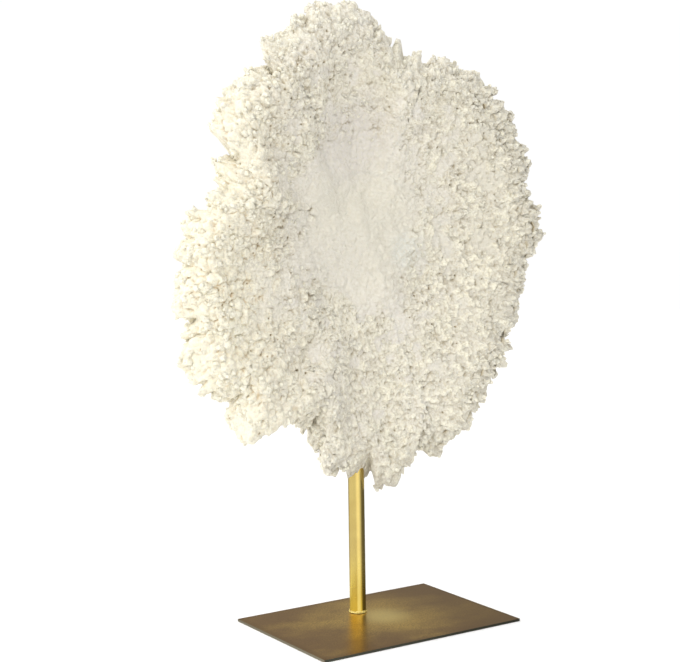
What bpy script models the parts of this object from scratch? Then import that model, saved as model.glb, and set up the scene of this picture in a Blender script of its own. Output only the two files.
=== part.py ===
"""A white table coral shown on edge, on a brass rod and a thin bronze plate.

The plate lies at Z = 0 with the origin under its middle, its long side along X and its front towards -Y.
The coral is a dished disc of knobbly branches. It grew as one piece and is split here at its main forks:
every lobe starts at the fused heart and ends at a notch of the outline.
"""
import math
import random

import bmesh
import bpy
from mathutils import Vector, noise

# The stand, in metres
PLATE_LENGTH = 0.1778
PLATE_DEPTH = 0.127
PLATE_THICKNESS = 0.002
PLATE_EDGE_BREAK = 0.0003
ROD_DIAMETER = 0.0127
ROD_X = -0.0019
ROD_Y = 0.0255
ROD_TOP = 0.162
ROD_TOP_CHAMFER = 0.0012
ROD_SIDES = 32
SHARP_ANGLE = 35.0
BEAD_WIDTH = 0.0009
BEAD_HEIGHT = 0.0022
BEAD_ROUND_STEPS = 4

# What touches keeps this gap
GAP = 0.0003

# The coral's heart, where its branches meet
HEART_X = 0.005
HEART_Z = 0.290
HEART_RADIUS = 0.056
HEART_WAVES = ((3, 0.6, 0.07), (5, 0.0, 0.04))
HEART_MID_Y = 0.022
HEART_HALF_THICKNESS = 0.012

# Rings inside the heart's edge: share of its radius, rise in metres, how many columns from point to point
HEART_FRONT_RINGS = ((0.72, 0.0012, 2), (0.44, 0.0020, 2), (0.20, 0.0024, 4))
HEART_BACK_RINGS = ((0.70, 0.0015, 2),)

# The coral's rim, which is thicker than the heart and stands forward of it
RIM_MID_Y = 0.008
RIM_HALF_THICKNESS = 0.021
RIM_REACH = 0.75
FORK_GROOVE = 0.004
FORK_GROOVE_ANGLE = 5.0
FORK_CLEARANCE = 0.0008

# The growth is uneven: slow lumps of this height and width, and a rim that varies in thickness
LUMP_HEIGHT = 0.0045
LUMP_WIDTH = 0.034
RIM_VARIATION = 0.13
RIM_VARIATION_PHASE = 0.8

# The foot sits further back than the rest of the rim, over the rod
FOOT_ANGLE = 268.0
FOOT_SPREAD = 34.0
FOOT_SETBACK = 0.015

# The outline, from the heart to the tips of the branches: (angle in degrees, radius in millimetres)
OUTLINE = (
    (0, 161), (15, 152), (26, 160), (52, 165), (64, 160), (71, 152), (85, 150), (93, 177),
    (104, 188), (118, 176), (125, 166), (134, 170), (145, 162), (152, 141), (160, 139), (172, 161),
    (192, 171), (200, 170), (209, 183), (220, 168), (229, 185), (237, 153), (246, 145), (257, 177),
    (267, 175), (274, 195), (283, 170), (290, 180), (302, 169), (316, 156), (331, 148), (349, 147),
)

# Each lobe from fork to fork: name, first angle, last angle, columns of knobs along its rim
LOBES = (
    ("coral_right", -17, 14, 8),
    ("coral_right_shoulder", 14, 76, 16),
    ("coral_crown", 76, 121, 12),
    ("coral_left_shoulder", 121, 163, 12),
    ("coral_left", 163, 218, 16),
    ("coral_knuckle", 218, 243, 6),
    ("coral_foot", 243, 287, 12),
    ("coral_lower_right", 287, 343, 14),
)

# Rings of knobs, as shares of the way from the heart to the rim, and the turn of the rim in degrees
INNER_SHARES = (0.0, 0.17, 0.36, 0.57)
OUTER_SHARES = (0.76, 1.0)
RIM_TURNS = (-45.0, 0.0, 45.0)
BACK_INNER_SHARES = (0.57, 0.28, 0.0)

# Knobs stand taller towards the rim and narrow to their tops
KNOB_HEIGHT_HEART = 0.0025
KNOB_HEIGHT_RIM = 0.009
KNOB_HEIGHT_POWER = 1.5
KNOB_TOP_SCALE = 0.46
KNOB_LEAN = 0.55
KNOB_SWAY = 0.18
KNOB_HEIGHT_SPREAD = (0.62, 1.12)
KNOB_SEED = 41

# How far a knob's corners stray from an even grid: shares of a column, metres, degrees round the rim
LOOSE_TURN = 0.36
LOOSE_RADIUS = 0.0032
LOOSE_RIM_TURN = 11.0

# The back has ribs that fork on their way out, and the stalk that was cut off
RIB_HEIGHT = 0.0028
RIB_VALLEY = 0.35
STALK_ROOT_RADIUS = 0.026
STALK_TOP_RADIUS = 0.021
STALK_FLARE = 0.003
STALK_LENGTH = 0.016

# Finishes: colour, roughness, metallic
CORAL_FINISH = ((0.82, 0.79, 0.70), 0.85, 0.0)
BRASS_FINISH = ((0.78, 0.57, 0.22), 0.28, 1.0)
BEAD_FINISH = ((0.86, 0.66, 0.28), 0.35, 1.0)
PLATE_FINISH = ((0.23, 0.17, 0.10), 0.32, 1.0)


def clear_scene():
    """Remove what the new file starts with."""
    for item in list(bpy.data.objects):
        bpy.data.objects.remove(item)


def finish(name, look):
    """Make a plain material from its colour, roughness and metallic value."""
    colour, roughness, metallic = look
    material = bpy.data.materials.new(name)
    material.use_nodes = True
    shader = material.node_tree.nodes["Principled BSDF"]
    shader.inputs["Base Color"].default_value = (*colour, 1.0)
    shader.inputs["Roughness"].default_value = roughness
    shader.inputs["Metallic"].default_value = metallic
    return material


def add_object(name, mesh_data, material):
    """Put a finished bmesh into the scene as a named object, faces outwards."""
    bmesh.ops.recalc_face_normals(mesh_data, faces=mesh_data.faces)
    mesh = bpy.data.meshes.new(name)
    mesh_data.to_mesh(mesh)
    mesh_data.free()
    mesh.materials.append(material)
    thing = bpy.data.objects.new(name, mesh)
    bpy.context.scene.collection.objects.link(thing)
    return thing


def smooth_step(value):
    """Ease from 0 to 1 with level ends."""
    value = min(max(value, 0.0), 1.0)
    return value * value * (3.0 - 2.0 * value)


def turn_between(first, second):
    """Smallest angle between two directions, in degrees."""
    return abs((first - second + 180.0) % 360.0 - 180.0)


def outline_radius(angle):
    """Radius to the branch tips: a cubic through the outline's points, which closes on itself."""
    angle = angle % 360.0
    count = len(OUTLINE)
    index = max(i for i in range(count) if OUTLINE[i][0] <= angle)
    before, start, end, after = (OUTLINE[(index + step) % count] for step in (-1, 0, 1, 2))
    span = (end[0] - start[0]) % 360.0
    share = (angle - start[0]) / span
    slope_in = (end[1] - before[1]) / ((end[0] - before[0]) % 360.0) * span
    slope_out = (after[1] - start[1]) / ((after[0] - start[0]) % 360.0) * span
    square, cube = share ** 2, share ** 3
    radius = (2 * cube - 3 * square + 1) * start[1] + (cube - 2 * square + share) * slope_in
    radius += (3 * square - 2 * cube) * end[1] + (cube - square) * slope_out
    return radius * 0.001


def heart_radius(angle):
    """The heart's edge, a circle with slow waves in it: (waves in a turn, phase, share of the radius)."""
    turn = math.radians(angle)
    waves = sum(size * math.sin(count * turn + phase) for count, phase, size in HEART_WAVES)
    return HEART_RADIUS * (1.0 + waves)


def mid_y(angle, share):
    """Depth of the disc's middle surface: the rim stands forward and the foot sits back."""
    foot = 0.5 + 0.5 * math.cos(math.pi * min(turn_between(angle, FOOT_ANGLE) / FOOT_SPREAD, 1.0))
    rim = RIM_MID_Y + FOOT_SETBACK * foot
    return HEART_MID_Y + (rim - HEART_MID_Y) * smooth_step(share)


def half_thickness(angle, share):
    """Half the disc's thickness, which grows outwards and dips along the forks."""
    turn = math.radians(angle)
    nearest = min(turn_between(angle, lobe[1]) for lobe in LOBES)
    groove = FORK_GROOVE * share * (1.0 - smooth_step(nearest / FORK_GROOVE_ANGLE))
    variation = RIM_VARIATION * math.sin(2 * turn + RIM_VARIATION_PHASE) * math.cos(3 * turn)
    rim = RIM_HALF_THICKNESS * (1.0 + variation)
    return HEART_HALF_THICKNESS + (rim - HEART_HALF_THICKNESS) * share ** 2 - groove


def body_point(angle, share, side):
    """A point on the disc between the heart (share 0) and the rim (share 1); side is -1 front, 1 back."""
    inner = heart_radius(angle)
    outer = outline_radius(angle) - KNOB_HEIGHT_RIM - half_thickness(angle, 1.0) * RIM_REACH
    depth = mid_y(angle, share) + side * half_thickness(angle, share)
    return inner + (outer - inner) * share, depth


def rim_point(angle, turn):
    """A point on the rounded rim, turned from front (-90) over the outermost edge (0) to back (90)."""
    half = half_thickness(angle, 1.0)
    reach = half * RIM_REACH
    start = outline_radius(angle) - KNOB_HEIGHT_RIM - reach
    depth = mid_y(angle, 1.0) + half * math.sin(math.radians(turn))
    return start + reach * math.cos(math.radians(turn)), depth


def lump(angle, radius, depth):
    """Slow unevenness of the surface, in metres, nothing at the heart's edge and full at the rim."""
    x, z = radius * math.cos(math.radians(angle)), radius * math.sin(math.radians(angle))
    wave = noise.noise(Vector((x, depth, z)) / LUMP_WIDTH)
    return LUMP_HEIGHT * wave * smooth_step((radius - heart_radius(angle)) / HEART_RADIUS)


def place(angle, radius, depth, sideways=0.0):
    """World position of a point given round the heart, moved sideways by a length if asked."""
    turn = math.radians(angle)
    x = HEART_X + radius * math.cos(turn) - sideways * math.sin(turn)
    z = HEART_Z + radius * math.sin(turn) + sideways * math.cos(turn)
    return Vector((x, depth, z))


def strip(mesh_data, first, second, closed=False):
    """Join two rings with faces. A ring may have half the points of the other."""
    coarse, fine = (first, second) if len(first) <= len(second) else (second, first)
    ratio = round((len(fine) - (not closed)) / (len(coarse) - (not closed)))
    faces = []
    for index in range(len(coarse) - (not closed)):
        corners = [coarse[index], coarse[(index + 1) % len(coarse)]]
        corners += [fine[(index * ratio + step) % len(fine)] for step in range(ratio, -1, -1)]
        faces.append(mesh_data.faces.new(corners))
    return faces


def keep_between(point, first, last):
    """Move a knob's corner back if it leans over either fork wall of its lobe."""
    for angle, side in ((first, 1.0), (last, -1.0)):
        turn = math.radians(angle)
        inwards = Vector((-math.sin(turn), 0.0, math.cos(turn))) * side
        clear = (point - Vector((HEART_X, 0.0, HEART_Z))).dot(inwards)
        if clear < FORK_CLEARANCE:
            point = point + inwards * (FORK_CLEARANCE - clear)
    return point


def grow_knobs(mesh_data, faces, height, dice, walls=None):
    """Raise a blunt knob on each face. It leans away from the heart and narrows to its top."""
    for face in faces:
        middle = face.calc_center_median()
        outward = Vector((middle.x - HEART_X, 0.0, middle.z - HEART_Z)).normalized()
        direction = (face.normal + outward * KNOB_LEAN).normalized()
        sway = Vector((dice.uniform(-1, 1), dice.uniform(-1, 1), dice.uniform(-1, 1))) * KNOB_SWAY
        rise = (direction + sway) * height * dice.uniform(*KNOB_HEIGHT_SPREAD)
        top = bmesh.ops.extrude_discrete_faces(mesh_data, faces=[face])["faces"][0]
        for corner in top.verts:
            corner.co = middle + (corner.co - middle) * KNOB_TOP_SCALE + rise
            if walls:
                corner.co = keep_between(corner.co, *walls)


def knob_height(share):
    """Knobs are low grains at the heart and short fingers at the rim."""
    return KNOB_HEIGHT_HEART + (KNOB_HEIGHT_RIM - KNOB_HEIGHT_HEART) * share ** KNOB_HEIGHT_POWER


def lobe_rings(lobe, mesh_data, dice):
    """The lobe's rings of points, from the heart over the front, round the rim and back to the heart."""
    first, last, columns = lobe[1:]
    step = (last - first) / columns

    def ring(stride, locate, rib=0.0, loose=1.0):
        points = []
        for column in range(0, columns + 1, stride):
            at_edge = column in (0, columns)
            stray = 0.0 if at_edge else loose * stride * dice.uniform(-LOOSE_TURN, LOOSE_TURN)
            angle = first + step * (column + stray)
            radius, depth = locate(angle)
            swell = lump(angle, radius, depth)
            radius += swell + loose * dice.uniform(-LOOSE_RADIUS, LOOSE_RADIUS)
            raised = (column // stride) % 2 == 0 and not at_edge
            depth += swell if depth > mid_y(angle, 1.0) else -swell
            depth += rib * (1.0 if raised else -RIB_VALLEY)
            sideways = GAP / 2 * ((column == 0) - (column == columns))
            points.append(mesh_data.verts.new(place(angle, radius, depth, sideways)))
        return points

    def wander():
        return dice.uniform(-LOOSE_RIM_TURN, LOOSE_RIM_TURN)

    rings = [ring(2, lambda a, s=s: body_point(a, s, -1), 0.0, float(s > 0)) for s in INNER_SHARES]
    rings += [ring(1, lambda a, s=s: body_point(a, s, -1)) for s in OUTER_SHARES]
    rings += [ring(1, lambda a, t=t: rim_point(a, t + wander())) for t in RIM_TURNS]
    rings += [ring(1, lambda a, s=s: body_point(a, s, 1), RIB_HEIGHT) for s in reversed(OUTER_SHARES)]
    for share in BACK_INNER_SHARES:
        rings.append(ring(2, lambda a: body_point(a, share, 1), RIB_HEIGHT, float(share > 0)))
    return rings


def make_lobe(lobe, dice):
    """One lobe as a closed solid: front, rim, back, two fork walls and the wall against the heart."""
    mesh_data = bmesh.new()
    rings = lobe_rings(lobe, mesh_data, dice)
    strips = [strip(mesh_data, rings[i], rings[i + 1]) for i in range(len(rings) - 1)]
    strip(mesh_data, rings[-1], rings[0])
    mesh_data.faces.new([ring[0] for ring in rings])
    mesh_data.faces.new([ring[-1] for ring in rings])
    bmesh.ops.recalc_face_normals(mesh_data, faces=mesh_data.faces)
    shares = [(a + b) / 2 for a, b in zip(INNER_SHARES + OUTER_SHARES, (INNER_SHARES + OUTER_SHARES)[1:])]
    for faces, share in zip(strips, shares):
        grow_knobs(mesh_data, faces, knob_height(share), dice, lobe[1:3])
    for faces in strips[len(shares):len(shares) + len(RIM_TURNS) + 1]:
        grow_knobs(mesh_data, faces, KNOB_HEIGHT_RIM, dice, lobe[1:3])
    return mesh_data


def heart_angles():
    """Angles of every second column of every lobe, all the way round."""
    angles = []
    for _, first, last, columns in LOBES:
        angles += [first + (last - first) * column / columns for column in range(0, columns, 2)]
    return angles


def heart_ring(mesh_data, stride, side, rise, radius=None):
    """One ring of the heart, of the given radius or along its edge, raised in depth by a rise."""
    depth = HEART_MID_Y + side * HEART_HALF_THICKNESS + rise
    angles = heart_angles()[::stride]
    return [mesh_data.verts.new(place(a, radius or heart_radius(a) - GAP, depth)) for a in angles]


def make_heart(dice):
    """The fused middle, knobbly in front, with the flat cut end of its stalk behind."""
    mesh_data = bmesh.new()
    front = [heart_ring(mesh_data, 1, -1, 0.0)]
    for share, rise, stride in HEART_FRONT_RINGS:
        front.append(heart_ring(mesh_data, stride, -1, rise, HEART_RADIUS * share))
    back = [heart_ring(mesh_data, 1, 1, 0.0)]
    for share, rise, stride in HEART_BACK_RINGS:
        back.append(heart_ring(mesh_data, stride, 1, rise, HEART_RADIUS * share))
    back.append(heart_ring(mesh_data, 2, 1, STALK_FLARE, STALK_ROOT_RADIUS))
    back.append(heart_ring(mesh_data, 2, 1, STALK_LENGTH, STALK_TOP_RADIUS))
    strips = [strip(mesh_data, front[i], front[i + 1], closed=True) for i in range(len(front) - 1)]
    for i in range(len(back) - 1):
        strip(mesh_data, back[i], back[i + 1], closed=True)
    strip(mesh_data, front[0], back[0], closed=True)
    middle = mesh_data.faces.new(front[-1])
    mesh_data.faces.new(back[-1])
    bmesh.ops.recalc_face_normals(mesh_data, faces=mesh_data.faces)
    for faces in strips + [[middle]]:
        grow_knobs(mesh_data, faces, KNOB_HEIGHT_HEART, dice)
    return mesh_data


def drill_rod_hole(target):
    """Cut the blind hole that the rod stands in, with a hidden cutter, from below up to the rod's top."""
    radius = ROD_DIAMETER / 2 + GAP
    low, high = PLATE_THICKNESS, ROD_TOP + GAP
    cutter_data = bmesh.new()
    bmesh.ops.create_cone(cutter_data, cap_ends=True, segments=ROD_SIDES, radius1=radius, radius2=radius,
                          depth=high - low)
    bmesh.ops.translate(cutter_data, verts=cutter_data.verts, vec=(ROD_X, ROD_Y, (low + high) / 2))
    cutter = add_object("drill", cutter_data, target.data.materials[0])
    cutter.hide_render = True
    cutter.display_type = "WIRE"
    cut = target.modifiers.new("rod hole", "BOOLEAN")
    cut.operation = "DIFFERENCE"
    cut.solver = "EXACT"
    cut.object = cutter


def make_coral():
    """The heart and its lobes, with the foot drilled for the rod."""
    material = finish("white coral", CORAL_FINISH)
    dice = random.Random(KNOB_SEED)
    add_object("coral_heart", make_heart(dice), material)
    for lobe in LOBES:
        made = add_object(lobe[0], make_lobe(lobe, dice), material)
        if lobe[0] == "coral_foot":
            drill_rod_hole(made)


def make_plate():
    """The thin plate, its edges just broken."""
    mesh_data = bmesh.new()
    bmesh.ops.create_cube(mesh_data, size=1.0)
    bmesh.ops.scale(mesh_data, verts=mesh_data.verts, vec=(PLATE_LENGTH, PLATE_DEPTH, PLATE_THICKNESS))
    bmesh.ops.translate(mesh_data, verts=mesh_data.verts, vec=(0.0, 0.0, PLATE_THICKNESS / 2))
    bmesh.ops.bevel(mesh_data, geom=mesh_data.edges[:], offset=PLATE_EDGE_BREAK, segments=1,
                    affect="EDGES", profile=0.5)
    add_object("base_plate", mesh_data, finish("antique bronze", PLATE_FINISH))


def turn_profile(mesh_data, profile):
    """Spin (radius, height) points round the rod's axis into joined rings."""
    turns = [2 * math.pi * side / ROD_SIDES for side in range(ROD_SIDES)]
    rings = []
    for radius, height in profile:
        spots = [(ROD_X + radius * math.cos(t), ROD_Y + radius * math.sin(t), height) for t in turns]
        rings.append([mesh_data.verts.new(spot) for spot in spots])
    for first, second in zip(rings, rings[1:]):
        strip(mesh_data, first, second, closed=True)
    return rings


def make_rod():
    """The round rod, chamfered at the top, standing on the plate."""
    radius = ROD_DIAMETER / 2
    mesh_data = bmesh.new()
    rings = turn_profile(mesh_data, [
        (radius, PLATE_THICKNESS + GAP),
        (radius, ROD_TOP - ROD_TOP_CHAMFER),
        (radius - ROD_TOP_CHAMFER, ROD_TOP),
    ])
    mesh_data.faces.new(rings[0])
    mesh_data.faces.new(rings[-1])
    rod = add_object("stem_rod", mesh_data, finish("brass", BRASS_FINISH))
    rod.data.shade_smooth()
    rod.data.set_sharp_from_angle(angle=math.radians(SHARP_ANGLE))


def make_bead():
    """The ring of metal in the corner between rod and plate, a quarter round in section."""
    inner = ROD_DIAMETER / 2 + GAP
    low = PLATE_THICKNESS + GAP
    profile = [(inner, low)]
    for step in range(BEAD_ROUND_STEPS + 1):
        turn = math.pi / 2 * step / BEAD_ROUND_STEPS
        profile.append((inner + BEAD_WIDTH * math.cos(turn), low + BEAD_HEIGHT * math.sin(turn)))
    profile[-1] = (inner, low + BEAD_HEIGHT)
    mesh_data = bmesh.new()
    rings = turn_profile(mesh_data, profile)
    strip(mesh_data, rings[-1], rings[0], closed=True)
    add_object("weld_bead", mesh_data, finish("weld", BEAD_FINISH))


clear_scene()
make_plate()
make_rod()
make_bead()
make_coral()
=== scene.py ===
"""The looks of a white table coral on a brass rod and a bronze plate.

The coral is a dished disc. Its skin is one function of a direction round the heart and a way, which goes from
the front's middle over the rim to the back's middle. Every lobe is a closed piece of that skin between two
forks, with the knobs that grow on it: closed lumps, low at the heart and blunt fingers at the rim.
"""
import math

import bpy
import numpy as np
from mathutils import Matrix, Vector


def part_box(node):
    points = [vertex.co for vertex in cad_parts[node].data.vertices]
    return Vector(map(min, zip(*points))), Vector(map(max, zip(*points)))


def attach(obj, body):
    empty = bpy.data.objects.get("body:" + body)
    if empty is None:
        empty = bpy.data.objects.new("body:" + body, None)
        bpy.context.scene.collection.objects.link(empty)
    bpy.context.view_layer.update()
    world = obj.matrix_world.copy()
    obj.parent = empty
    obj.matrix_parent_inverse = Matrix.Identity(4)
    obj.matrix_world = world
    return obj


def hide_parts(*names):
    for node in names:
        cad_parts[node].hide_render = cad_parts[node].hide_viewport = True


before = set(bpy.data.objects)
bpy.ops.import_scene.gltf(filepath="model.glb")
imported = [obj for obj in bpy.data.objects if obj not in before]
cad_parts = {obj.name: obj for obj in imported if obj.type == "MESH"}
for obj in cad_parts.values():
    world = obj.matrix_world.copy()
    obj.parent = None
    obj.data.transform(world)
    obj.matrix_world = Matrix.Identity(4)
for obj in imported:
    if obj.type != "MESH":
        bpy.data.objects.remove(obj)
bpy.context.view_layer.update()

MM = 0.001

# Camera, fitted to the photograph by the plate's corners and the rod: place in metres, turns in degrees
CAMERA_LENS = 85.0
CAMERA_SENSOR = 36.0
CAMERA_SPOT = (-0.67356, -1.00446, 0.35752)
CAMERA_TURN = -32.611
CAMERA_PITCH = 6.208
CAMERA_ROLL = -0.891

# The studio's round floor, in metres
FLOOR_RADIUS = 2.5

# The coral's heart and rim, in metres, as in the construction
HEART_X = 0.005
HEART_Z = 0.290
HEART_RADIUS = 0.056
HEART_WAVES = ((3, 0.6, 0.07), (5, 0.0, 0.04))
HEART_MID_Y = 0.022
HEART_HALF_THICKNESS = 0.012
RIM_MID_Y = 0.008
RIM_HALF_THICKNESS = 0.021
RIM_REACH = 0.75
RIM_VARIATION = 0.13
RIM_VARIATION_PHASE = 0.8
FORK_GROOVE = 0.0015
FORK_GROOVE_ANGLE = 5.0
FOOT_ANGLE = 268.0
FOOT_SPREAD = 34.0
FOOT_SETBACK = 0.015
STALK_ROOT_RADIUS = 0.026
STALK_TOP_RADIUS = 0.021
STALK_LENGTH = 0.016

# The outline, from the heart to the tips of the branches: (angle in degrees, radius in millimetres)
OUTLINE = (
    (0, 161), (15, 152), (26, 160), (52, 165), (64, 160), (71, 152), (85, 150), (93, 177),
    (104, 188), (118, 176), (125, 166), (134, 170), (145, 162), (152, 141), (160, 139), (172, 161),
    (192, 171), (200, 170), (209, 183), (220, 168), (229, 185), (237, 153), (246, 145), (257, 177),
    (267, 175), (274, 195), (283, 170), (290, 180), (302, 169), (316, 156), (331, 148), (349, 147),
)

# Clumps and notches of the rim as the camera sees them: (angle, half width in degrees, millimetres outwards)
RIM_CLUMPS = (
    (332, 30, 3), (210, 32, 3.5), (150, 26, 1.8),
    (4.2, 1.6, 3), (7.2, 2.1, 7.5), (10.1, 1.1, 2.5), (11.4, 0.9, -2), (13.8, 1.8, 3.3), (16.4, 1.6, -5),
    (19.6, 1.8, 3.8), (22.4, 1.7, 8.5), (24.6, 1, -6), (25.7, 1.8, 9.5), (28.9, 1.3, -4), (30.4, 1.1, -2),
    (33.2, 2, 4.2), (38, 2, 4.6), (41.3, 2, 2.5), (44.3, 1.2, -9.5), (45.7, 1.8, 8), (53.9, 2.9, 5.4),
    (57.6, 1.8, -3.8), (60.2, 1.4, 2.5), (63.6, 3, 6.5), (67.6, 1.6, 5.5), (69.1, 1.1, -6.5),
    (73.1, 2.2, 7.5), (76.8, 2.2, 2.5), (80.7, 2.8, 15), (84.8, 1.1, -12), (87.9, 2.4, -9),
    (95.7, 2.3, 5.6), (98.2, 1.2, 2), (103.3, 2.6, 2.6), (106.1, 1.4, 4.5), (108.5, 1.4, -5),
    (111.6, 1.4, 7.5), (117.8, 2.2, 4), (120.8, 2.5, 11), (123.4, 1.3, -7), (127.6, 3.6, 3),
    (129, 1.2, 1.2), (134.5, 4.6, 2.2), (136.8, 1.4, 1.8), (138.2, 0.7, -1.5), (140.2, 1.4, 5),
    (142.7, 1.2, 4), (146.1, 2, 4.4), (149.1, 1.9, -12), (152.8, 1.8, 3.5), (155, 2, 9.5), (158.1, 1.8, 6),
    (163.6, 2, 4.5), (167.2, 2.1, -7.5), (169.4, 1.4, 6), (172.4, 2.2, 3), (175.8, 1.2, -5),
    (179, 2.4, 4.8), (182.7, 1.8, -5.8), (191.5, 2.2, 4), (193.9, 1.3, 3.8), (196.5, 1.5, -8.5),
    (199.6, 1, 3.6), (201, 0.8, -4), (204.6, 2.2, 6), (209.8, 1.1, 3), (211.4, 1, -3.5), (213.4, 1.8, 8),
    (217.2, 2.6, 5.5), (221.3, 1.2, -5.5), (222.6, 0.9, 2.5), (226, 2.8, -3), (229.7, 1.6, 3.2),
    (231.8, 1.6, 5), (235, 1.6, 8), (236.9, 1.1, -14), (239.5, 1.3, 8), (242.9, 3.2, 11.5), (246.2, 1.8, 9),
    (248.6, 1.3, -4.5), (250.2, 1.3, 2.8), (254.2, 1.6, -5), (257.8, 3.1, 8.7), (262.4, 1.4, 2.5),
    (264.9, 1.9, 11.5), (267.2, 1.8, 9), (269.3, 1.2, 5), (271.9, 1.3, -7.5), (273.7, 1.6, 5.6),
    (278.2, 2.8, 11.5), (282.9, 1.9, 11.5), (285.3, 1.2, 6.5), (289, 3.6, 8.5), (300.7, 2.2, 6.8),
    (303.4, 1, -4), (304.8, 1.2, 3.5), (308.7, 1.8, 4.2), (311.4, 1.6, 2.4), (315.9, 1.2, 4.1),
    (317.7, 0.9, -4), (319.9, 2, 9.5), (324.5, 1.5, 8), (327.4, 1.5, -6), (331.2, 1.4, 3),
    (333.6, 3.4, 7.3), (341.1, 1.8, 5), (345.8, 2.2, 4.2), (353.3, 1.9, -6.5), (357.7, 0.9, -4.5),
    (359.8, 2, 6.8),
)
# The place they are seen from. They run along lines from it, and their angles hold in the rim's middle plane
EYE = (-0.674, -1.004, 0.358)
# Where clumps begin, and where clumps and notches end behind: (way, span). The edge that the eye sees lies
# further forward at the right than at the left, by twice the shift
CLUMP_START = (1.09, 0.34)
CLUMP_END = (1.58, 0.26)
NOTCH_END = (1.70, 0.35)
EDGE_SHIFT = 0.17

# Each lobe from fork to fork: name, first angle, last angle
LOBES = (
    ("right", -17, 14),
    ("right_shoulder", 14, 76),
    ("crown", 76, 121),
    ("left_shoulder", 121, 163),
    ("left", 163, 218),
    ("knuckle", 218, 243),
    ("foot", 243, 287),
    ("lower_right", 287, 343),
)

# How plump the knobs are by direction, from 0 slender and laid outwards to 1 upright: (degrees, plumpness)
PLUMPNESS = ((0, 0.0), (45, 0.2), (75, 0.45), (105, 0.6), (140, 0.85), (180, 1.0), (215, 0.95), (240, 0.7),
             (262, 0.2), (300, 0.1), (330, 0.05))

# The skin under the knobs lies this far inside the outline, under slender and under plump knobs
SKIN_INSET = (0.0108, 0.0078)

# Steps of the skin's grid in metres: along the rim, and along a spoke over the front, the rim and the back
STEP_ROUND = 0.0007
STEP_FRONT = 0.0007
STEP_RIM = 0.0009
STEP_BACK = 0.0022

# Lengths in metres that turn steps into counts: along a spoke, over the rim, out to the rim and past it
SPOKE_LENGTH = 0.085
RIM_PATH = 0.058
RIM_RADIUS = 0.150
STREWN_REACH = 0.21

# Ways over the skin where its stretches meet: the front's middle is at -1, the heart's edge in front at 0,
# and front turns to back at the brim
WAY_RIM, WAY_BRIM, WAY_BACK, WAY_BACK_HEART, WAY_BACK_MIDDLE = 1.0, 1.5, 2.0, 3.0, 4.0

# Slow folds of the front, valleys and ridges along lines: (X and Z of one end, of the other, width, rise)
FOLDS = (
    ((-0.018, 0.415), (0.000, 0.334), 0.019, -0.0060), ((0.004, 0.405), (0.012, 0.345), 0.008, -0.0030),
    ((-0.040, 0.368), (-0.016, 0.320), 0.008, -0.0024), ((0.026, 0.398), (0.024, 0.350), 0.009, 0.0030),
    ((-0.062, 0.366), (-0.040, 0.333), 0.015, 0.0036), ((-0.042, 0.300), (-0.024, 0.262), 0.024, -0.0036),
    ((-0.006, 0.312), (0.014, 0.258), 0.010, 0.0026), ((0.016, 0.250), (0.048, 0.200), 0.012, 0.0026),
    ((0.036, 0.305), (0.046, 0.270), 0.010, -0.0022), ((-0.042, 0.205), (-0.022, 0.160), 0.022, 0.0020),
    ((-0.078, 0.262), (-0.052, 0.236), 0.012, 0.0022), ((0.066, 0.350), (0.080, 0.312), 0.012, 0.0020),
)

# The front's smooth middle, an ellipse: its centre in X and Z and its half axes
SMOOTH_X, SMOOTH_Z = -0.006, 0.318
SMOOTH_HALF_X, SMOOTH_HALF_Z = 0.047, 0.064

# Places of the front that have grown knobs inside it, or stayed smooth outside it: (X, Z, width, strength)
KNOB_PATCHES = (
    (0.057, 0.331, 0.017, 0.7), (0.056, 0.225, 0.016, 0.6), (-0.052, 0.246, 0.018, 0.5),
    (0.000, 0.190, 0.024, 0.4), (0.045, 0.290, 0.008, 0.3),
)
SMOOTH_PATCHES = (
    (0.018, 0.395, 0.018, 0.45), (-0.060, 0.285, 0.013, 0.6), (0.070, 0.285, 0.014, 0.5),
    (-0.050, 0.215, 0.012, 0.7), (0.020, 0.250, 0.020, 0.5), (0.036, 0.222, 0.016, 0.6),
    (0.076, 0.362, 0.014, 0.5), (0.094, 0.300, 0.010, 0.5), (-0.118, 0.282, 0.010, 0.6),
    (-0.082, 0.251, 0.016, 0.75), (-0.110, 0.236, 0.009, 0.5),
)

# The stand, from the frame: the rod's axis and its size, and the plate
ROD_LOW, ROD_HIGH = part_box("stem_rod")
ROD_X, ROD_Y = (ROD_LOW.x + ROD_HIGH.x) / 2, (ROD_LOW.y + ROD_HIGH.y) / 2
ROD_RADIUS = (ROD_HIGH.x - ROD_LOW.x) / 2
ROD_CHAMFER = 0.0008
BEAD_LOW, BEAD_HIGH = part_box("weld_bead")
PLATE_LOW, PLATE_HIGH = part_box("base_plate")
PLATE_CORNER = 0.0008
PLATE_EDGE = 0.0003
ROUND_SIDES = 96

# The knobs' spacing, the room they leave round the rod, and how far they are laid level at the right
KNOB_SPACING = 0.0042
KNOB_SPACING_BACK = 0.0072
KNOB_FREE_ROUND_ROD = 0.022
LAID_LEVEL = 0.55

# Widths of the skin's relief in metres, and how many times longer along X some of it is
CLUSTER_WIDTH = 0.0145
LUMP_WIDTH = 0.0062
BLOCK_WIDTH = 0.0053
CRUMB_WIDTH = 0.0028
CRUMB_STRETCH = 1.2
RIDGE_WIDTH = 0.0026
RIDGE_STRETCH = 3.0
CHIP_WIDTH = 0.0018
PIT_WIDTH = 0.0060

# Heights of the relief in metres: (on smooth skin, slender crumbly skin, plump crumbly skin)
LUMP_HEIGHT = (0.0014, 0.0013, 0.0026)
CRUMB_HEIGHT = (0.0009, 0.0018, 0.0035)
CHIP_HEIGHT = (0.0005, 0.0008, 0.0005)
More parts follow.
